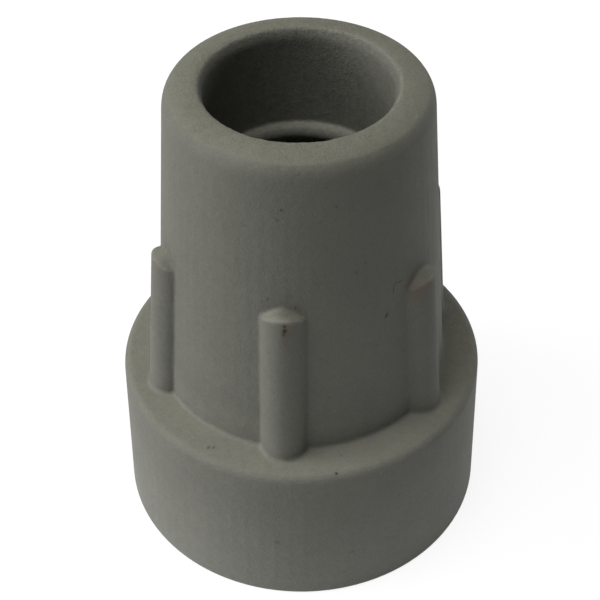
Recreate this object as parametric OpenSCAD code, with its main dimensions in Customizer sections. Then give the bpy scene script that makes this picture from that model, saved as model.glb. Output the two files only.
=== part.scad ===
// Rubber cane tip: one moulded foot that is pushed on the end of a cane.
// Origin: centre of the sole. +Z runs up the bore, towards its mouth. -Y is the front.

/* [Foot] */
// Height of the whole tip
height = 52.6; // [48:0.2:60]
// Height of the foot at its upper edge, before the edge is rounded
foot_h = 18.2; // [15:0.1:22]
// Diameter of the foot at the sole
sole_d = 40; // [38.8:0.2:44]
// Diameter of the foot at the top, before its edge is rounded
foot_top_d = 38.8; // [37:0.2:42]
// Rounding of the foot's upper edge
foot_round = 1; // [0.4:0.1:2]
// Rounding of the edge round the sole
sole_round = 0.3; // [0.1:0.1:0.8]
// How much the shoulder rises from the foot's edge to the neck
shoulder_rise = 0.3; // [0:0.1:1]

/* [Neck] */
// Diameter of the neck where it stands on the shoulder
neck_root_d = 31; // [29:0.2:33]
// Diameter of the neck at the top, before its edge is rounded
neck_top_d = 25.6; // [25.2:0.2:28]
// Rounding of the outer edge of the rim
rim_round = 2.2; // [1:0.1:2.4]
// Angle above the level at which that rounding breaks off into the rim's flatter crown
crease_angle = 48; // [40:1:60]
// Hollow rounding between neck and shoulder
root_round = 0.3; // [0.2:0.1:1.5]

/* [Bore] */
// Diameter of the bore, a little under that of the cane
bore_d = 18.2; // [16:0.1:18.4]
// Depth of the bore below the rim
bore_depth = 40.6; // [34:0.2:42]
// Radius of the flare by which the bore opens towards its mouth
flare_r = 2; // [1.1:0.1:2]
// How far the trimmed edge of the mouth lies outside the bore's wall
mouth_step = 0.5; // [0.2:0.1:0.8]
// Hollow rounding round the bore's floor
floor_round = 1.5; // [0.5:0.1:3]
// Radius of the half-round grip bead inside the bore
bead_r = 1; // [0.6:0.1:1.6]
// Depth of the bead's middle below the rim
bead_depth = 12; // [8:0.1:20]

/* [Ribs] */
// Radius of the half-round section of a rib
rib_r = 2.4; // [2:0.1:3]
// How far a rib stands out of the neck at its foot
rib_foot_stand = 1.7; // [1:0.05:1.9]
// How far a rib stands out of the neck near its top
rib_top_stand = 1.45; // [0.9:0.05:1.9]
// Height above the sole at which the tallest rib starts on the neck
rib_top = 36.7; // [30:0.1:42]
// Slope of the cone that ends a rib
rib_end_slope = 38; // [25:1:45]
// How far that cone is tipped up on its outer side
rib_end_tilt = 18; // [0:1:20]
// How far inside the neck's surface the tip of that cone lies
rib_end_inset = 0.8; // [0.2:0.1:1.2]
// Hollow rounding between a rib and the neck
rib_fillet = 0.25; // [0.2:0.05:0.6]
// Hollow rounding between a rib's foot and the shoulder
rib_foot_round = 0.3; // [0.2:0.05:0.8]

/* [Sole] */
// Number of ring grooves in the sole
groove_count = 4; // [1:1:4]
// Radius of the innermost groove, at its middle
groove_first_r = 4.2; // [3:0.1:5]
// Distance from one groove to the next
groove_pitch = 3.6; // [2.4:0.1:3.8]
// Width of a groove
groove_w = 1.6; // [0.8:0.1:2]
// Depth of a groove
groove_depth = 1.5; // [0.5:0.1:3]

/* [Hidden] */
// Each rib's direction round the neck, in degrees from the front, and how much shorter it is
// than the tallest
RIBS = [[-69.6, 0.4], [-6.9, 0], [55.2, 0.4], [112, 0.3], [171, 0.3], [230, 0.3]];
RUBBER = [0.43, 0.43, 0.39];
// Steps that an arc is divided into: a half round or quarter round, a shorter arc, and a
// small hollow rounding
ARC_STEPS = 8;
SHORT_STEPS = 4;
FILLET_STEPS = 2;
// How far a shape runs on past the surface that it ends in
OVERLAP = 1;
shoulder_z = foot_h + shoulder_rise;
floor_z = height - bore_depth;
bore_r = bore_d / 2;
mouth_r = bore_r + mouth_step;
neck_r = neck_root_d / 2;
// Leans of the neck's side and of the foot's side, slope of the shoulder
neck_draft = atan((neck_root_d - neck_top_d) / 2 / (height - shoulder_z));
foot_draft = atan((sole_d - foot_top_d) / 2 / foot_h);
shoulder_slope = atan(2 * shoulder_rise / (foot_top_d - neck_root_d));
// Middle of the rounding of the rim's outer edge
rim_edge = [neck_top_d / 2, height];
rim_c = meet(rim_edge, 270, rim_edge, 180 + neck_draft, rim_round);
// Lean of a rib, which is a little more than that of the neck
rib_draft = atan(tan(neck_draft) + (rib_foot_stand - rib_top_stand) / (rib_top - shoulder_z));
// Where the middle of a rib's section lies at the shoulder
rib_axis_r = neck_r + rib_foot_stand - rib_r;
// Middle of the hollow rounding beside a rib: it touches both the rib and the neck
fillet_x = ((neck_r + rib_fillet) ^ 2 - (rib_r + rib_fillet) ^ 2 + rib_axis_r ^ 2)
    / (2 * rib_axis_r);
fillet_y = sqrt((neck_r + rib_fillet) ^ 2 - fillet_x ^ 2);
// Half of a rib's width where it leaves the neck
rib_half_w = fillet_y * neck_r / (neck_r + rib_fillet);

$fn = 96;

function neck_radius(z) = neck_r - (z - shoulder_z) * tan(neck_draft);

// Points of an arc about a centre, from one angle to another
function arc(centre, r, from, to, steps) =
    [for (i = [0:steps])
        let (a = from + (to - from) * i / steps)
        centre + r * [cos(a), sin(a)]];

// Middle of an arc of radius r that touches two lines. Each line is given by a point on it
// and by the angle of its normal, on the side of the arc's middle.
function meet(p, p_normal, q, q_normal, r) =
    let (n = [cos(p_normal), sin(p_normal)],
         m = [cos(q_normal), sin(q_normal)],
         c = n * p + r,
         d = m * q + r,
         det = n.x * m.y - n.y * m.x)
    [(c * m.y - d * n.y) / det, (n.x * d - m.x * c) / det];

// Outline of the sole's underside with its ring grooves, from the middle outwards
function grooved_sole() =
    [for (i = [0:groove_count - 1])
        let (middle_r = groove_first_r + i * groove_pitch,
             inner = middle_r - groove_w / 2,
             outer = middle_r + groove_w / 2)
        each [[inner, 0], [inner, groove_depth], [outer, groove_depth], [outer, 0]]];

// Outside of the foot and the neck, from the edge of the sole up to the crease on the rim
function outside() =
    let (sole_edge = [sole_d / 2, 0],
         foot_edge = [foot_top_d / 2, foot_h],
         root = [neck_r, shoulder_z],
         side_in = 180 + foot_draft,
         shoulder_up = 90 - shoulder_slope,
         sole_c = meet(sole_edge, 90, sole_edge, side_in, sole_round),
         foot_c = meet(foot_edge, shoulder_up + 180, foot_edge, side_in, foot_round),
         root_c = meet(root, shoulder_up, root, neck_draft, root_round))
    concat(arc(sole_c, sole_round, -90, foot_draft, FILLET_STEPS),
           arc(foot_c, foot_round, foot_draft, shoulder_up, ARC_STEPS),
           arc(root_c, root_round, shoulder_up + 180, 180 + neck_draft, FILLET_STEPS),
           arc(rim_c, rim_round, neck_draft, crease_angle, SHORT_STEPS));

// Crown of the rim, from the crease to the trimmed edge of the mouth, where it is level
function crown() =
    let (crease = rim_c + rim_round * [cos(crease_angle), sin(crease_angle)],
         run = crease.x - mouth_r,
         drop = height - crease.y,
         crown_r = (run ^ 2 + drop ^ 2) / (2 * drop))
    arc([mouth_r, height - crown_r], crown_r, 90 - asin(run / crown_r), 90, SHORT_STEPS);

// Inside of the bore, from the edge of the mouth down past the bead to the middle of the floor
function inside() =
    let (flare_turn = acos(1 - mouth_step / flare_r),
         flare_c = [bore_r + flare_r, height - flare_r * sin(flare_turn)],
         bead_c = [bore_r, height - bead_depth],
         floor_c = [bore_r - floor_round, floor_z + floor_round])
    concat(arc(flare_c, flare_r, 180 - flare_turn, 180, SHORT_STEPS),
           arc(bead_c, bead_r, 90, 270, ARC_STEPS),
           arc(floor_c, floor_round, 0, -90, SHORT_STEPS),
           [[0, floor_z]]);

// Section of a rib: a half round on the +X side of the neck, eased into it on both sides
module rib_section() {
    ease = atan2(fillet_y, fillet_x - rib_axis_r);
    neck_turn = atan2(fillet_y, fillet_x);
    start = [rib_axis_r - rib_r, -rib_half_w];
    translate([-rib_axis_r, 0])
        polygon(concat([start],
                       arc([fillet_x, -fillet_y], rib_fillet,
                           180 - neck_turn, 180 - ease, FILLET_STEPS),
                       arc([rib_axis_r, 0], rib_r, -ease, ease, 2 * ARC_STEPS),
                       arc([fillet_x, fillet_y], rib_fillet,
                           180 + ease, 180 + neck_turn, FILLET_STEPS),
                       [[start.x, -start.y]]));
}

// Collar that eases the foot of a rib into the shoulder, square to the shoulder's slope
module rib_foot() {
    r = rib_r + rib_foot_round;
    translate([rib_axis_r, 0, shoulder_z + (neck_r - rib_axis_r) * tan(shoulder_slope)])
        rotate([0, shoulder_slope, 0])
            rotate_extrude()
                polygon(concat([[0, -OVERLAP], [r, -OVERLAP]],
                               arc([r, rib_foot_round], rib_foot_round,
                                   270, 180, FILLET_STEPS),
                               [[0, rib_foot_round]]));
}

// Everything under the conical end of a rib on the +X side
module under_end(top) {
    tip_z = top + rib_end_inset * tan(rib_end_slope - rib_end_tilt);
    translate([neck_radius(top) - rib_end_inset, 0, tip_z])
        rotate([0, -rib_end_tilt, 0])
            translate([0, 0, -height])
                cylinder(r1 = height / tan(rib_end_slope), r2 = 0, h = height);
}

module rib(top) {
    intersection() {
        translate([rib_axis_r, 0, shoulder_z])
            rotate([0, -rib_draft, 0])
                translate([0, 0, -OVERLAP])
                    linear_extrude(height)
                        rib_section();
        under_end(top);
    }
    rib_foot();
}

module ribs() {
    for (each_rib = RIBS)
        rotate(each_rib[0] - 90)
            rib(rib_top - each_rib[1]);
}

module turned_body() {
    rotate_extrude()
        polygon(concat([[0, 0]], grooved_sole(), outside(), crown(), inside()));
}

// The ribs reach far into the wall, but not into the bore
module rubber_tip() {
    color(RUBBER)
        union() {
            turned_body();
            ribs();
        }
}

rubber_tip();
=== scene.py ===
"""Rubber cane tip: its moulded surface, the rubber and a small studio round it."""

import math

import bpy
import numpy as np
from bpy.props import FloatProperty, FloatVectorProperty, IntProperty, PointerProperty
from mathutils import Matrix, Vector, noise


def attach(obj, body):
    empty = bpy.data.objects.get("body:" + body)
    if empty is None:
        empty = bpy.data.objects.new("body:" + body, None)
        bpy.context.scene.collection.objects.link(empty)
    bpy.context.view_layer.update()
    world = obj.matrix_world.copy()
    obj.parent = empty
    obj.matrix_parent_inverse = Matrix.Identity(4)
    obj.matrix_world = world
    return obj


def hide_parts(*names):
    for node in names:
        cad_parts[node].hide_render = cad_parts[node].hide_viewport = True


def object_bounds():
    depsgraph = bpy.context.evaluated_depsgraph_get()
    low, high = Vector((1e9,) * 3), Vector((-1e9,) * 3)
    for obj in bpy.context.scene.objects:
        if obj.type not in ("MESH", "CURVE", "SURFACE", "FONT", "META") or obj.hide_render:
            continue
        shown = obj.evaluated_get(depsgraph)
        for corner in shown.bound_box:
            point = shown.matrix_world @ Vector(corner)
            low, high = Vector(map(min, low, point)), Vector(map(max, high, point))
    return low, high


bl_info = {
    "name": "Rubber cane tip",
    "version": (1, 0, 0),
    "blender": (4, 5, 0),
    "location": "View3D > Sidebar > Cane tip",
    "description": "Makes the surface, the rubber and the studio of a moulded cane tip",
    "category": "Object",
}

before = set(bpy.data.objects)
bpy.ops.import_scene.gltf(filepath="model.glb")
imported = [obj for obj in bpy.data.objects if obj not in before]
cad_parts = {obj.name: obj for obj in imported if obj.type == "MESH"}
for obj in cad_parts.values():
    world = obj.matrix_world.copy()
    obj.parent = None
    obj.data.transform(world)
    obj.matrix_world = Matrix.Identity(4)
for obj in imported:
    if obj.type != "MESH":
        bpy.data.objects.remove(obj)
CAD_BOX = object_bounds()

MM = 0.001
BODY = "root"
CAD_NODE = "rubber_tip"
EDGE = "edge_bend"

# Where the parts of the moulding are, in millimetres from its axis and its sole
TOP = CAD_BOX[1][2] / MM
MOUTH_R = 9.6
NECK_ROOT_R = 15.5
FOOT_TOP = 18.2


# ---------------------------------------------------------------- colours and nodes

def linear(hex_colour):
    """A colour written as sRGB hex, as the linear values that shaders take."""
    values = [int(hex_colour[i:i + 2], 16) / 255 for i in (1, 3, 5)]
    return [v / 12.92 if v <= 0.04045 else ((v + 0.055) / 1.055) ** 2.4 for v in values]


def add(tree, kind, settings=None, links=None):
    """Adds a node. Settings are its properties or its inputs, links are inputs to fill."""
    node = tree.nodes.new(kind)
    for name, value in (settings or {}).items():
        if isinstance(name, str) and hasattr(node, name):
            setattr(node, name, value)
        else:
            node.inputs[name].default_value = value
    for name, socket in (links or {}).items():
        tree.links.new(socket, node.inputs[name])
    return node


# The colour sockets of a Mix node that mixes colours
MIX_A, MIX_B, MIX_RESULT = 6, 7, 2


# ---------------------------------------------------------------- rubber

RUBBER_GREY = "#73736a"
# Paler, yellower colour of faces that look up: a dusty film and painted light from above
FILM_AND_TOP_LIGHT = "#7d7d6f"
# Paler colour of painted light bounced from the floor
BOUNCE_PALE = "#92928a"
# Pale grey of outer edges, some wear and a painted highlight, also used for pale marks
PALE_GREY = "#8a8a80"
GRIME = "#2c2a24"
RUST_CORE = "#2c2217"
RUST_HALO = "#67503c"
BROWN_FILM = "#786052"
RUBBER_IOR = 1.52

# The rubber's patterns: how many lumps there are to a millimetre, how many finer sizes
# lie over them, and how strong each is next to the one before
PATTERNS = {
    # Uneven mixing of the filler shows as clouds of 5 mm and a mottle of 1 mm
    "clouds": (0.2, 3.0, 0.5),
    "mottle": (1.1, 3.0, 0.6),
    # The grain of the mould's blasted steel is about 0.1 mm, drawn at 0.2 mm so that
    # it shows
    "grain": (5.0, 2.0, 0.6),
    # The cane has scuffed the bore in patches of 0.5 mm
    "scuffs": (2.0, 3.0, 0.65),
    # Peaks of this one are specks of dirt, about 0.2 mm wide and 3 mm apart
    "specks": (2.4, 1.0, 0.5),
}
# A pattern stays within about 0.25 of 0.5, so 4 times its swing is about 1
SWING = 4
# How much more the grain shows on the trimmed rim
TRIMMED_GRAIN = 1.5
# How high the peaks of the specks' pattern are where a speck begins and is whole
SPECK_EDGE = 0.725
SPECK_CORE = 0.80
# In millimetres below the top, where the trimmed rim begins and is whole
TRIMMED_FROM = 0.7
TRIMMED_TO = 0.1
# In millimetres inside the mouth's radius, where the scuffs begin and are whole
SCUFFS_FROM = 0.05
SCUFFS_TO = 0.35
# How far a face looks up where the dusty film and painted light from above begin and are
# whole: 1 is level
TOP_LIGHT_FROM = 0.5
TOP_LIGHT_TO = 1.0
# How sharply the surface bends, in 1/mm, where the paler edges begin and are whole: some
# wear and a painted highlight
EDGE_LIGHT_FROM = 0.45
EDGE_LIGHT_TO = 1.1
# How far the mottle moves the roughness either way
MOTTLE_ROUGHNESS = 0.06
# Share of the relief that the grain has on the skin and on the trimmed rim, and the
# mottle has everywhere
SKIN_RELIEF = 0.25
TRIMMED_RELIEF = 0.5
MOTTLE_RELIEF = 0.3

# Painted light bounced from the floor, which makes the rubber paler: the height on the neck
# where it begins, the share of the rubber that it covers at the foot's top, and how much
# more at the ground
BOUNCE_TOP = 44.0
NECK_BOUNCE = 0.19
FOOT_BOUNCE = 0.68
# More painted light by the crease between neck and foot, where shade would fall, and how
# far from the crease it is thickest and has gone
CREASE_LIGHT = 0.3
CREASE_NEAR = 0.8
CREASE_FAR = 5.5

# Dirt on the rubber, and a painted highlight at the top of the front rib, in millimetres:
# where a mark is, how far it reaches along its own three axes, the turn of those axes in
# degrees, its colour and how well that covers
MARKS = (
    # A rusty stain below the top of the front rib, and its faint run
    ((-1.40, -15.60, 35.10), (0.80, 0.6, 1.20), (0, 0, -6), RUST_HALO, 0.40),
    ((-1.60, -15.66, 34.10), (0.42, 0.4, 1.30), (0, -10, -6), RUST_HALO, 0.36),
    ((-1.57, -15.51, 35.72), (0.26, 0.3, 0.30), (0, 0, -6), RUST_CORE, 0.75),
    ((-1.57, -15.56, 35.18), (0.31, 0.3, 0.42), (0, 10, -6), RUST_CORE, 0.95),
    ((-1.66, -15.60, 34.72), (0.25, 0.3, 0.28), (0, 0, -6), RUST_CORE, 0.60),
    # The top of the front rib: a painted highlight along its edge, darker behind it
    ((-1.75, -14.45, 36.50), (1.30, 0.75, 0.6), (0, 0, -6), GRIME, 0.28),
    ((-2.49, -14.95, 36.22), (0.55, 0.40, 0.4), (0, 0, -10), PALE_GREY, 0.45),
    ((-1.75, -15.22, 36.20), (0.70, 0.26, 0.4), (0, 0, -6), PALE_GREY, 0.50),
    ((-3.15, -14.00, 36.00), (0.70, 0.50, 0.5), (0, 0, -10), PALE_GREY, 0.20),
    # A brown film on the upper end of the right rib
    ((11.50, -9.90, 34.90), (2.00, 1.6, 1.60), (0, 0, 52), BROWN_FILM, 0.42),
    # A short fibre, bent over at its top
    ((8.86, -11.00, 36.10), (0.12, 0.36, 0.66), (0, 3, 39), GRIME, 0.60),
    ((9.00, -10.78, 36.72), (0.12, 0.36, 0.38), (0, 42, 40), GRIME, 0.66),
    ((9.45, -10.40, 36.60), (0.41, 0.36, 0.13), (0, 6, 42), GRIME, 0.72),
    # Specks on the neck
    ((8.23, -11.70, 33.44), (0.24, 0.36, 0.48), (0, 33, 35), GRIME, 0.85),
    ((-1.65, -13.08, 47.68), (0.24, 0.36, 0.19), (0, 0, -7), GRIME, 0.75),
    ((-2.02, -13.11, 46.56), (0.26, 0.36, 0.19), (0, 0, -9), GRIME, 0.45),
    ((-5.02, -12.38, 45.42), (0.34, 0.36, 0.22), (0, 0, -22), GRIME, 0.27),
    ((5.17, -12.78, 39.98), (0.26, 0.36, 0.22), (0, 0, 22), GRIME, 0.48),
    ((3.23, -12.77, 47.82), (0.24, 0.36, 0.22), (0, 0, 14), GRIME, 0.39),
    ((6.00, -12.34, 40.81), (0.22, 0.36, 0.22), (0, 0, 26), GRIME, 0.36),
    ((-3.12, -13.63, 37.48), (0.17, 0.36, 0.31), (0, 0, -13), GRIME, 0.48),
    ((-0.52, -14.05, 36.75), (0.14, 0.36, 0.34), (0, 0, -2), GRIME, 0.54),
    # Specks on the foot
    ((3.39, -18.54, 18.18), (0.22, 0.22, 0.22), (0, 0, 10), GRIME, 0.95),
    ((3.95, -16.36, 18.40), (0.26, 0.30, 0.30), (0, 0, 13), GRIME, 0.30),
    ((7.97, -17.71, 17.28), (0.24, 0.30, 0.24), (0, 0, 24), PALE_GREY, 0.90),
    ((5.20, -19.09, 6.08), (0.22, 0.30, 0.24), (0, 0, 15), GRIME, 0.40),
    ((-9.59, -15.04, 18.32), (0.24, 0.29, 0.36), (0, 0, -32), GRIME, 0.51),
    ((-9.07, -15.06, 18.34), (0.24, 0.29, 0.36), (0, 0, -31), GRIME, 0.42),
    ((-2.71, -19.53, 8.34), (0.54, 0.60, 0.36), (0, 25, -8), GRIME, 0.30),
)
# A mark is whole up to the first share of its reach, and has faded out at the second
MARK_CORE = 0.2
MARK_EDGE = 1.1


def painted_bounce(tree, height, across, upright):
    """The share of the rubber that painted bounce light makes paler: a little on the neck,
    more on the foot the lower it is, and some on the neck's wall by the crease where it
    meets the foot, where shade would fall."""
    neck = add(tree, "ShaderNodeMapRange",
               {"From Min": BOUNCE_TOP, "From Max": FOOT_TOP, "To Max": NECK_BOUNCE},
               {"Value": height}).outputs["Result"]
    foot = add(tree, "ShaderNodeMapRange",
               {"From Min": FOOT_TOP, "From Max": 0.0, "To Max": FOOT_BOUNCE},
               {"Value": height}).outputs["Result"]
    section = add(tree, "ShaderNodeCombineXYZ",
                  links={"X": across, "Y": height}).outputs["Vector"]
    from_crease = add(tree, "ShaderNodeVectorMath",
                      {"operation": "DISTANCE", 1: (NECK_ROOT_R, FOOT_TOP, 0)},
                      {0: section}).outputs["Value"]
    near_crease = add(tree, "ShaderNodeMapRange",
                      {"interpolation_type": "SMOOTHSTEP", "From Min": CREASE_FAR,
                       "From Max": CREASE_NEAR, "To Max": CREASE_LIGHT},
                      {"Value": from_crease}).outputs["Result"]
    crease = add(tree, "ShaderNodeMath", {"operation": "MULTIPLY"},
                 {0: near_crease, 1: upright}).outputs[0]
    bounce_light = neck
    for more in (foot, crease):
        bounce_light = add(tree, "ShaderNodeMath", {"operation": "ADD"},
                   {0: bounce_light, 1: more}).outputs[0]
    return bounce_light


def marked(tree, place, colour):
    """The colour with the marks of MARKS on it, one mark over another: dirt, and a painted
    highlight at the top of the front rib.
    """
    for spot, reach, turn, dirt, cover in MARKS:
        near = add(tree, "ShaderNodeMapping",
                   {"vector_type": "TEXTURE", "Location": spot,
                    "Rotation": [math.radians(angle) for angle in turn], "Scale": reach},
                   {"Vector": place}).outputs["Vector"]
        away = add(tree, "ShaderNodeVectorMath", {"operation": "LENGTH"},
                   {"Vector": near}).outputs["Value"]
        mark = add(tree, "ShaderNodeMapRange",
                   {"interpolation_type": "SMOOTHSTEP", "From Min": MARK_EDGE,
                    "From Max": MARK_CORE, "To Max": cover},
                   {"Value": away}).outputs["Result"]
        colour = add(tree, "ShaderNodeMix",
                     {"data_type": "RGBA", MIX_B: (*linear(dirt), 1)},
                     {"Factor": mark, MIX_A: colour}).outputs[MIX_RESULT]
    return colour


def moulded_rubber(rubber):
    """Natural rubber, filled grey and moulded hot in a steel mould.

    Fillers make it dull and slightly mottled. Faces that look up are paler and yellower,
    from a dusty film and from painted light from above. Painted light bounced from the
    floor makes the rubber paler towards the ground and by the crease where the neck meets
    the foot. Outer edges are paler, from some wear and from a painted highlight, and the
    rim, where the flash is trimmed off, is coarser than the moulded skin.
    """
    material = bpy.data.materials.new("moulded_rubber")
    material.use_nodes = True
    tree = material.node_tree
    tree.nodes.clear()

    # Places in millimetres, so that a noise of scale 1 has lumps of about 1 mm
    source = add(tree, "ShaderNodeTexCoord")
    place = add(tree, "ShaderNodeVectorMath", {"operation": "SCALE", "Scale": 1 / MM},
                {"Vector": source.outputs["Object"]}).outputs["Vector"]
    height = add(tree, "ShaderNodeSeparateXYZ", links={"Vector": place}).outputs["Z"]
    facing_up = add(tree, "ShaderNodeSeparateXYZ",
                    links={"Vector": source.outputs["Normal"]}).outputs["Z"]
    patterns = {}
    for name, (scale, detail, strength) in PATTERNS.items():
        patterns[name] = add(tree, "ShaderNodeTexNoise",
                             {"label": name, "Scale": scale, "Detail": detail,
                              "Roughness": strength},
                             {"Vector": place}).outputs["Fac"]

    # Distance from the axis
    flat = add(tree, "ShaderNodeVectorMath", {"operation": "MULTIPLY", 1: (1, 1, 0)},
               {0: place}).outputs["Vector"]
    across = add(tree, "ShaderNodeVectorMath", {"operation": "LENGTH"},
                 {"Vector": flat}).outputs["Value"]

    # Where the flash was trimmed off the rim's flat top
    trimmed = add(tree, "ShaderNodeMapRange",
                  {"interpolation_type": "SMOOTHSTEP", "From Min": TOP - TRIMMED_FROM,
                   "From Max": TOP - TRIMMED_TO},
                  {"Value": height}).outputs["Result"]

    # The patterns make the tone swing about 1: the grain more on the trimmed rim, and
    # the scuffs only in the bore
    grain_swing = add(tree, "ShaderNodeMapRange",
                      {"To Min": SWING * rubber.grain,
                       "To Max": TRIMMED_GRAIN * SWING * rubber.grain},
                      {"Value": trimmed}).outputs["Result"]
    scuffs_swing = add(tree, "ShaderNodeMapRange",
                       {"From Min": MOUTH_R - SCUFFS_FROM, "From Max": MOUTH_R - SCUFFS_TO,
                        "To Max": SWING * rubber.scuffs},
                       {"Value": across}).outputs["Result"]
    tone = add(tree, "ShaderNodeMath",
               {"operation": "MULTIPLY_ADD", 1: SWING * rubber.clouds,
                2: 1 - SWING * rubber.clouds / 2},
               {0: patterns["clouds"]}).outputs[0]
    for name, even, varied in (("mottle", {1: SWING * rubber.mottle}, {}),
                               ("grain", {}, {1: grain_swing}),
                               ("scuffs", {}, {1: scuffs_swing})):
        about_0 = add(tree, "ShaderNodeMath", {"operation": "SUBTRACT", 1: 0.5},
                      {0: patterns[name]}).outputs[0]
        tone = add(tree, "ShaderNodeMath", {"operation": "MULTIPLY_ADD", **even},
                   {0: about_0, 2: tone, **varied}).outputs[0]
    speck = add(tree, "ShaderNodeMapRange",
                {"interpolation_type": "SMOOTHSTEP", "From Min": SPECK_EDGE,
                 "From Max": SPECK_CORE, "To Min": 1.0, "To Max": 1 - rubber.specks},
                {"Value": patterns["specks"]}).outputs["Result"]
    tone = add(tree, "ShaderNodeMath", {"operation": "MULTIPLY"},
               {0: tone, 1: speck}).outputs[0]

    # Faces that look up made paler and yellower: a dusty film, and painted light from above
    look_up = add(tree, "ShaderNodeMapRange",
                  {"interpolation_type": "SMOOTHSTEP", "From Min": TOP_LIGHT_FROM,
                   "From Max": TOP_LIGHT_TO},
                  {"Value": facing_up}).outputs["Result"]
    film_and_top_light = add(tree, "ShaderNodeMath", {"operation": "MULTIPLY", 1: rubber.film_and_top_light},
                {0: look_up}).outputs[0]
    colour = add(tree, "ShaderNodeMix",
                 {"data_type": "RGBA", MIX_A: (*rubber.grey, 1),
                  MIX_B: (*rubber.film_and_top_light_colour, 1)},
                 {"Factor": film_and_top_light}).outputs[MIX_RESULT]

    # Painted bounce light over that, and outer edges paler over it: some wear and a painted
    # highlight
    upright = add(tree, "ShaderNodeMath", {"operation": "SUBTRACT", 0: 1.0},
                  {1: look_up}).outputs[0]
    bounce_light = add(tree, "ShaderNodeMath", {"operation": "MULTIPLY", 1: rubber.bounce_light},
               {0: painted_bounce(tree, height, across, upright)}).outputs[0]
    edge = add(tree, "ShaderNodeAttribute", {"attribute_name": EDGE}).outputs["Fac"]
    worn_and_lit_edge = add(tree, "ShaderNodeMapRange",
                 {"interpolation_type": "SMOOTHSTEP", "From Min": EDGE_LIGHT_FROM,
                  "From Max": EDGE_LIGHT_TO, "To Max": rubber.edge_wear_and_light},
                 {"Value": edge}).outputs["Result"]
    for cover, paler in ((bounce_light, rubber.bounce_colour), (worn_and_lit_edge, rubber.edge_light_colour)):
        colour = add(tree, "ShaderNodeMix", {"data_type": "RGBA", MIX_B: (*paler, 1)},
                     {"Factor": cover, MIX_A: colour}).outputs[MIX_RESULT]
    colour = add(tree, "ShaderNodeVectorMath", {"operation": "SCALE"},
                 {"Vector": colour, "Scale": tone}).outputs["Vector"]
    colour = marked(tree, place, colour)

    # The mottle makes the rubber a little more or less dull
    rough = add(tree, "ShaderNodeMapRange",
                {"From Min": 0.3, "From Max": 0.7,
                 "To Min": rubber.roughness - MOTTLE_ROUGHNESS,
                 "To Max": rubber.roughness + MOTTLE_ROUGHNESS},
                {"Value": patterns["mottle"]}).outputs["Result"]

    # Bumps: the grain is about 0.02 mm deep, twice that on the trimmed rim, on swellings
    # as wide as the mottle and as deep as the grain
    deep = add(tree, "ShaderNodeMapRange",
               {"To Min": SKIN_RELIEF, "To Max": TRIMMED_RELIEF},
               {"Value": trimmed}).outputs["Result"]
    relief = add(tree, "ShaderNodeMath", {"operation": "MULTIPLY"},
                 {0: patterns["grain"], 1: deep}).outputs[0]
    relief = add(tree, "ShaderNodeMath", {"operation": "MULTIPLY_ADD", 1: MOTTLE_RELIEF},
                 {0: patterns["mottle"], 2: relief}).outputs[0]
    bumps = add(tree, "ShaderNodeBump", {"Strength": 1.0, "Distance": rubber.relief},
                {"Height": relief}).outputs["Normal"]

    base = add(tree, "ShaderNodeBsdfPrincipled", {"IOR": RUBBER_IOR},
               {"Base Color": colour, "Roughness": rough, "Normal": bumps})
    add(tree, "ShaderNodeOutputMaterial", links={"Surface": base.outputs["BSDF"]})
    return material


# ---------------------------------------------------------------- settings

class MouldingSettings(bpy.types.PropertyGroup):
    """Sizes of the visible surface."""
    cell: FloatProperty(
        name="Cell", description="Size of the cells that the surface is rebuilt from",
        default=0.2 * MM, unit="LENGTH", precision=5)
    smoothing: IntProperty(
        name="Smoothing", description="How often the rebuilt surface is evened out",
        default=2)
    triangles: IntProperty(
        name="Triangles", description="Most triangles that the surface may keep",
        default=190000)
    mouth_rounds: IntProperty(
        name="Mouth smoothing", description="How often the edge of the mouth is evened out",
        default=30)
    trim: FloatProperty(
        name="Trim", description="How far the trimmed edge of the mouth wanders in and out",
        default=0.05 * MM, unit="LENGTH", precision=5)


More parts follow.
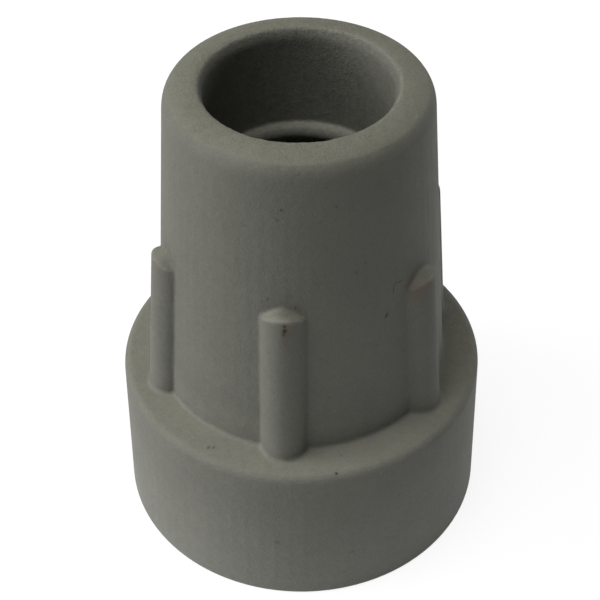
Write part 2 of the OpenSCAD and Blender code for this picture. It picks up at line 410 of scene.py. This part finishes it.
class RubberSettings(bpy.types.PropertyGroup):
    """Colours and finish of the rubber."""
    grey: FloatVectorProperty(
        name="Rubber", description="Colour of the bare rubber",
        default=linear(RUBBER_GREY), min=0, max=1, subtype="COLOR")
    # Colour of faces that look up: a dusty film and painted light from above
    film_and_top_light_colour: FloatVectorProperty(
        name="Bloom colour", description="Colour of the wax that rises to the surface",
        default=linear(FILM_AND_TOP_LIGHT), min=0, max=1, subtype="COLOR")
    # Colour of the painted light bounced from the floor
    bounce_colour: FloatVectorProperty(
        name="Dust colour", description="Colour of the dust",
        default=linear(BOUNCE_PALE), min=0, max=1, subtype="COLOR")
    # Colour of outer edges: some wear and a painted highlight
    edge_light_colour: FloatVectorProperty(
        name="Worn colour", description="Colour of the rubber where edges are rubbed",
        default=linear(PALE_GREY), min=0, max=1, subtype="COLOR")
    roughness: FloatProperty(
        name="Roughness", description="How dull the rubber is", default=0.75,
        min=0, max=1, subtype="FACTOR")
    clouds: FloatProperty(
        name="Clouds", description="How much lighter and darker its wide clouds are",
        default=0.05, min=0, max=1, subtype="FACTOR")
    mottle: FloatProperty(
        name="Mottle", description="How much lighter and darker its fine mottle is",
        default=0.09, min=0, max=1, subtype="FACTOR")
    grain: FloatProperty(
        name="Grain", description="How much lighter and darker its grain is",
        default=0.11, min=0, max=1, subtype="FACTOR")
    # How much dusty film and painted light from above lies on faces that look up
    film_and_top_light: FloatProperty(
        name="Bloom", description="How much bloom lies on the faces that look up",
        default=1.0, min=0, max=1, subtype="FACTOR")
    # How much painted bounce light lies on the foot and the neck
    bounce_light: FloatProperty(
        name="Dust", description="How much dust lies on the foot and the neck",
        default=1.0, min=0, max=1, subtype="FACTOR")
    # How far outer edges are made pale by some wear and a painted highlight
    edge_wear_and_light: FloatProperty(
        name="Worn edges", description="How far the outer edges are rubbed pale",
        default=0.6, min=0, max=1, subtype="FACTOR")
    scuffs: FloatProperty(
        name="Scuffs", description="How much lighter and darker the scuffs in the bore are",
        default=0.16, min=0, max=1, subtype="FACTOR")
    specks: FloatProperty(
        name="Specks", description="How dark the small specks of dirt are",
        default=0.3, min=0, max=1, subtype="FACTOR")
    relief: FloatProperty(
        name="Relief", description="Depth that the heights of the bumps are counted in",
        default=0.18 * MM, unit="LENGTH", precision=6)


class StudioSettings(bpy.types.PropertyGroup):
    """Camera, lamps and floor."""
    lens: FloatProperty(
        name="Lens", description="Focal length on a 36 mm wide sensor",
        default=82.35, subtype="DISTANCE_CAMERA")
    camera_place: FloatVectorProperty(
        name="Camera", description="Where the camera stands",
        default=(-0.09 * MM, -107.9 * MM, 124.3 * MM), subtype="TRANSLATION")
    camera_down: FloatProperty(
        name="Looks down", description="How far the camera looks down from level",
        default=math.radians(42.68), subtype="ANGLE")
    camera_roll: FloatProperty(
        name="Roll", description="Turn of the camera about its line of sight",
        default=math.radians(-0.594), subtype="ANGLE")
    power: FloatProperty(
        name="Lamps", description="Power that the lamps' shares are counted in, in watts",
        default=6.15)
    backdrop: FloatProperty(
        name="White floor", description="Share of the floor's look that is plain white",
        default=0.7, min=0, max=1, subtype="FACTOR")


# ---------------------------------------------------------------- pieces

def only(piece):
    """Makes a piece the one that operators act on."""
    bpy.ops.object.select_all(action="DESELECT")
    piece.select_set(True)
    bpy.context.view_layer.objects.active = piece


def applied(piece, kind, **settings):
    """Adds a modifier to the active piece, sets it and applies it."""
    modifier = piece.modifiers.new(kind.lower(), kind)
    for name, value in settings.items():
        setattr(modifier, name, value)
    bpy.ops.object.modifier_apply(modifier=modifier.name)


def read(items, field, width):
    """A field of all of a mesh's vertices or edges, as an array with a row for each."""
    kind = np.int32 if field == "vertices" else np.float32
    values = np.empty(len(items) * width, dtype=kind)
    items.foreach_get(field, values)
    return values.reshape(-1, width)


# How often the bend of the surface is evened out, which spreads it over about 0.5 mm
EDGE_ROUNDS = 4


def mark_edges(piece):
    """Writes how sharply the surface bends at each vertex, in 1/mm: above 0 on outer
    edges and below 0 in inner corners."""
    mesh = piece.data
    place = read(mesh.vertices, "co", 3) / MM
    facing = read(mesh.vertex_normals, "vector", 3)
    first, second = read(mesh.edges, "vertices", 2).T
    size = len(place)

    def summed(at_first, at_second):
        """Each vertex's sum of what its edges give their first and their second end."""
        return np.bincount(first, at_first, size) + np.bincount(second, at_second, size)

    count = summed(None, None)
    along = place[second] - place[first]
    turn = ((facing[second] - facing[first]) * along).sum(axis=1) / (along ** 2).sum(axis=1)
    bend = summed(turn, turn) / count
    for _ in range(EDGE_ROUNDS):
        bend = (bend + summed(bend[second], bend[first]) / count) / 2
    written = mesh.attributes.new(EDGE, "FLOAT", "POINT")
    written.data.foreach_set("value", bend.astype(np.float32))


# How far from the edge of the mouth it is smoothed, in millimetres, and how strongly
MOUTH_BANDS = ((1.3, 0.4), (0.9, 1.0))


def soften_mouth(piece, rounds):
    """Rounds the edge of the mouth by about 0.5 mm. The piece is in millimetres here."""
    place = read(piece.data.vertices, "co", 3)
    across = np.hypot(place[:, 0], place[:, 1])
    away = np.hypot(across - MOUTH_R, place[:, 2] - TOP)
    mouth = piece.vertex_groups.new(name="mouth_edge")
    for reach, weight in MOUTH_BANDS:
        mouth.add(np.flatnonzero(away < reach).tolist(), weight, "REPLACE")
    applied(piece, "SMOOTH", factor=0.5, iterations=rounds, vertex_group="mouth_edge")
    piece.vertex_groups.clear()


# How far the trimming reaches from the edge of the mouth, how long one of its nicks is,
# and below what share of its full depth it is left out
TRIM_REACH = 0.35 * MM
NICK = 0.45 * MM
TRIM_LEAST = 0.05


def trim_mouth(piece, wander):
    """Makes the edge of the mouth as ragged as a blade leaves it. The piece is in metres
    here."""
    place = read(piece.data.vertices, "co", 3)
    across = np.hypot(place[:, 0], place[:, 1])
    out = (across - MOUTH_R * MM) / TRIM_REACH
    up = (place[:, 2] - CAD_BOX[1][2]) / TRIM_REACH
    near = np.exp(-out ** 2 - up ** 2)
    for i in np.flatnonzero(near > TRIM_LEAST):
        spot = Vector(place[i].tolist()) / NICK
        place[i, :2] *= 1 + wander * near[i] * noise.noise(spot) * 2 / across[i]
    piece.data.vertices.foreach_set("co", place.ravel())
    piece.data.update()


class CANETIP_OT_moulding(bpy.types.Operator):
    """Rebuild the moulding with the soft edges of rubber"""
    bl_idname = "canetip.moulding"
    bl_label = "Moulding"

    def execute(self, context):
        sizes = context.scene.canetip_moulding
        piece = bpy.data.objects.new("cane_tip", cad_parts[CAD_NODE].data.copy())
        context.scene.collection.objects.link(piece)
        piece.data.materials.clear()
        only(piece)
        bpy.ops.mesh.customdata_custom_splitnormals_clear()
        # Rebuilding needs millimetres for its precision. Metres come back after it.
        piece.data.transform(Matrix.Scale(1 / MM, 4))
        bpy.ops.object.mode_set(mode="EDIT")
        bpy.ops.mesh.select_all(action="SELECT")
        bpy.ops.mesh.remove_doubles(threshold=0.001)
        bpy.ops.object.mode_set(mode="OBJECT")
        piece.data.remesh_voxel_size = sizes.cell / MM
        piece.data.remesh_voxel_adaptivity = 0
        bpy.ops.object.voxel_remesh()
        applied(piece, "SMOOTH", factor=0.5, iterations=sizes.smoothing)
        applied(piece, "DECIMATE", ratio=sizes.triangles / (2 * len(piece.data.polygons)))
        soften_mouth(piece, sizes.mouth_rounds)
        piece.data.transform(Matrix.Scale(MM, 4))
        trim_mouth(piece, sizes.trim)
        mark_edges(piece)
        bpy.ops.object.shade_smooth()
        piece.data.materials.append(moulded_rubber(context.scene.canetip_rubber))
        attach(piece, BODY)
        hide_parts(CAD_NODE)
        return {"FINISHED"}


# ---------------------------------------------------------------- studio

# Name, direction from the front and height in degrees, share of the power, and width
# in metres
LAMPS = (
    ("left_low", -90, 12, 0.140, 0.2),
    ("left", -90, 28, 0.152, 0.35),
    ("left_high", -60, 68, 0.238, 0.35),
    ("overhead", 0, 90, 0.125, 0.35),
    ("right_back", 120, 12, 0.055, 0.2),
    ("back", 150, 12, 0.040, 0.2),
)
# In metres: how far off the lamps stand, and the height on the axis that they look at
LAMP_DISTANCE = 0.6
LAMP_AIM = 0.02

PAPER = "#dedede"
# How bright the white over the paper is: more than 1, as it makes up for the paper's share
WHITE = 1.25
# In metres from the middle: the floor is paper with white over it up to the first, and
# all white from the second, so that it ends in the white surroundings
PAPER_END = 0.12
WHITE_FROM = 0.4


def lamp(name, azimuth, elevation, power, size):
    """A soft round lamp that looks at the piece."""
    light = bpy.data.lights.new(name, "AREA")
    light.shape = "DISK"
    light.size = size
    light.energy = power
    carrier = bpy.data.objects.new(name, light)
    turn = (Matrix.Rotation(math.radians(azimuth), 3, "Z")
            @ Matrix.Rotation(math.radians(90 - elevation), 3, "X"))
    carrier.rotation_euler = turn.to_euler()
    carrier.location = turn @ Vector((0, 0, LAMP_DISTANCE)) + Vector((0, 0, LAMP_AIM))
    bpy.context.scene.collection.objects.link(carrier)


def paper_floor(studio):
    """White paper, which the camera sees as plain white with a faint shadow on it."""
    material = bpy.data.materials.new("paper_floor")
    material.use_nodes = True
    tree = material.node_tree
    tree.nodes.clear()
    ray = add(tree, "ShaderNodeLightPath")
    seen = ray.outputs["Is Camera Ray"]
    for other in ("Is Glossy Ray", "Is Transmission Ray"):
        seen = add(tree, "ShaderNodeMath", {"operation": "MAXIMUM"},
                   {0: seen, 1: ray.outputs[other]}).outputs[0]
    source = add(tree, "ShaderNodeTexCoord")
    away = add(tree, "ShaderNodeVectorMath", {"operation": "LENGTH"},
               {"Vector": source.outputs["Object"]}).outputs["Value"]
    share = add(tree, "ShaderNodeMapRange",
                {"interpolation_type": "SMOOTHSTEP", "From Min": PAPER_END,
                 "From Max": WHITE_FROM, "To Min": studio.backdrop, "To Max": 1.0},
                {"Value": away}).outputs["Result"]
    amount = add(tree, "ShaderNodeMath", {"operation": "MULTIPLY"},
                 {0: seen, 1: share}).outputs[0]
    paper = add(tree, "ShaderNodeBsdfDiffuse", {"Color": (*linear(PAPER), 1)})
    white = add(tree, "ShaderNodeEmission", {"Strength": WHITE})
    mix = add(tree, "ShaderNodeMixShader", links={
        "Fac": amount, 1: paper.outputs["BSDF"], 2: white.outputs["Emission"]})
    add(tree, "ShaderNodeOutputMaterial", links={"Surface": mix.outputs["Shader"]})
    return material


class CANETIP_OT_studio(bpy.types.Operator):
    """Set up the floor, the lamps and the camera"""
    bl_idname = "canetip.studio"
    bl_label = "Studio"

    def execute(self, context):
        studio = context.scene.canetip_studio
        scene = context.scene
        scene.view_settings.view_transform = "Standard"
        bpy.ops.object.select_all(action="DESELECT")
        bpy.ops.mesh.primitive_plane_add(size=4, location=(0, 0, 0))
        floor = context.active_object
        floor.name = "floor"
        floor.data.materials.append(paper_floor(studio))
        # The surroundings give no light, and show as white behind the floor
        scene.world = bpy.data.worlds.new("studio")
        scene.world.use_nodes = True
        tree = scene.world.node_tree
        tree.nodes.clear()
        ray = add(tree, "ShaderNodeLightPath")
        sky = add(tree, "ShaderNodeBackground", {"Color": (1, 1, 1, 1)},
                  {"Strength": ray.outputs["Is Camera Ray"]})
        add(tree, "ShaderNodeOutputWorld", links={"Surface": sky.outputs["Background"]})
        for name, azimuth, elevation, share, size in LAMPS:
            lamp(name, azimuth, elevation, share * studio.power, size)
        camera = bpy.data.objects.new("camera", bpy.data.cameras.new("camera"))
        camera.data.lens = studio.lens
        camera.data.sensor_width = 36
        camera.data.clip_start = 0.01
        camera.location = studio.camera_place
        tilt = Matrix.Rotation(math.pi / 2 - studio.camera_down, 3, "X")
        roll = Matrix.Rotation(studio.camera_roll, 3, "Z")
        camera.rotation_euler = (tilt @ roll).to_euler()
        scene.collection.objects.link(camera)
        scene.camera = camera
        return {"FINISHED"}


class CANETIP_PT_panel(bpy.types.Panel):
    """Lists the piece and the studio"""
    bl_label = "Cane tip"
    bl_space_type = "VIEW_3D"
    bl_region_type = "UI"
    bl_category = "Cane tip"

    def draw(self, context):
        for operator in (CANETIP_OT_moulding, CANETIP_OT_studio):
            self.layout.operator(operator.bl_idname)
        for name in SETTINGS:
            group = getattr(context.scene, name)
            for field in group.bl_rna.properties.keys():
                if field not in ("rna_type", "name"):
                    self.layout.prop(group, field)


SETTINGS = {
    "canetip_moulding": MouldingSettings,
    "canetip_rubber": RubberSettings,
    "canetip_studio": StudioSettings,
}
CLASSES = (*SETTINGS.values(), CANETIP_OT_moulding, CANETIP_OT_studio, CANETIP_PT_panel)


def register():
    for cls in CLASSES:
        bpy.utils.register_class(cls)
    for name, group in SETTINGS.items():
        setattr(bpy.types.Scene, name, PointerProperty(type=group))


def unregister():
    for name in SETTINGS:
        delattr(bpy.types.Scene, name)
    for cls in reversed(CLASSES):
        bpy.utils.unregister_class(cls)


def main():
    register()
    bpy.ops.canetip.moulding()
    bpy.ops.canetip.studio()


if __name__ == "__main__":
    main()
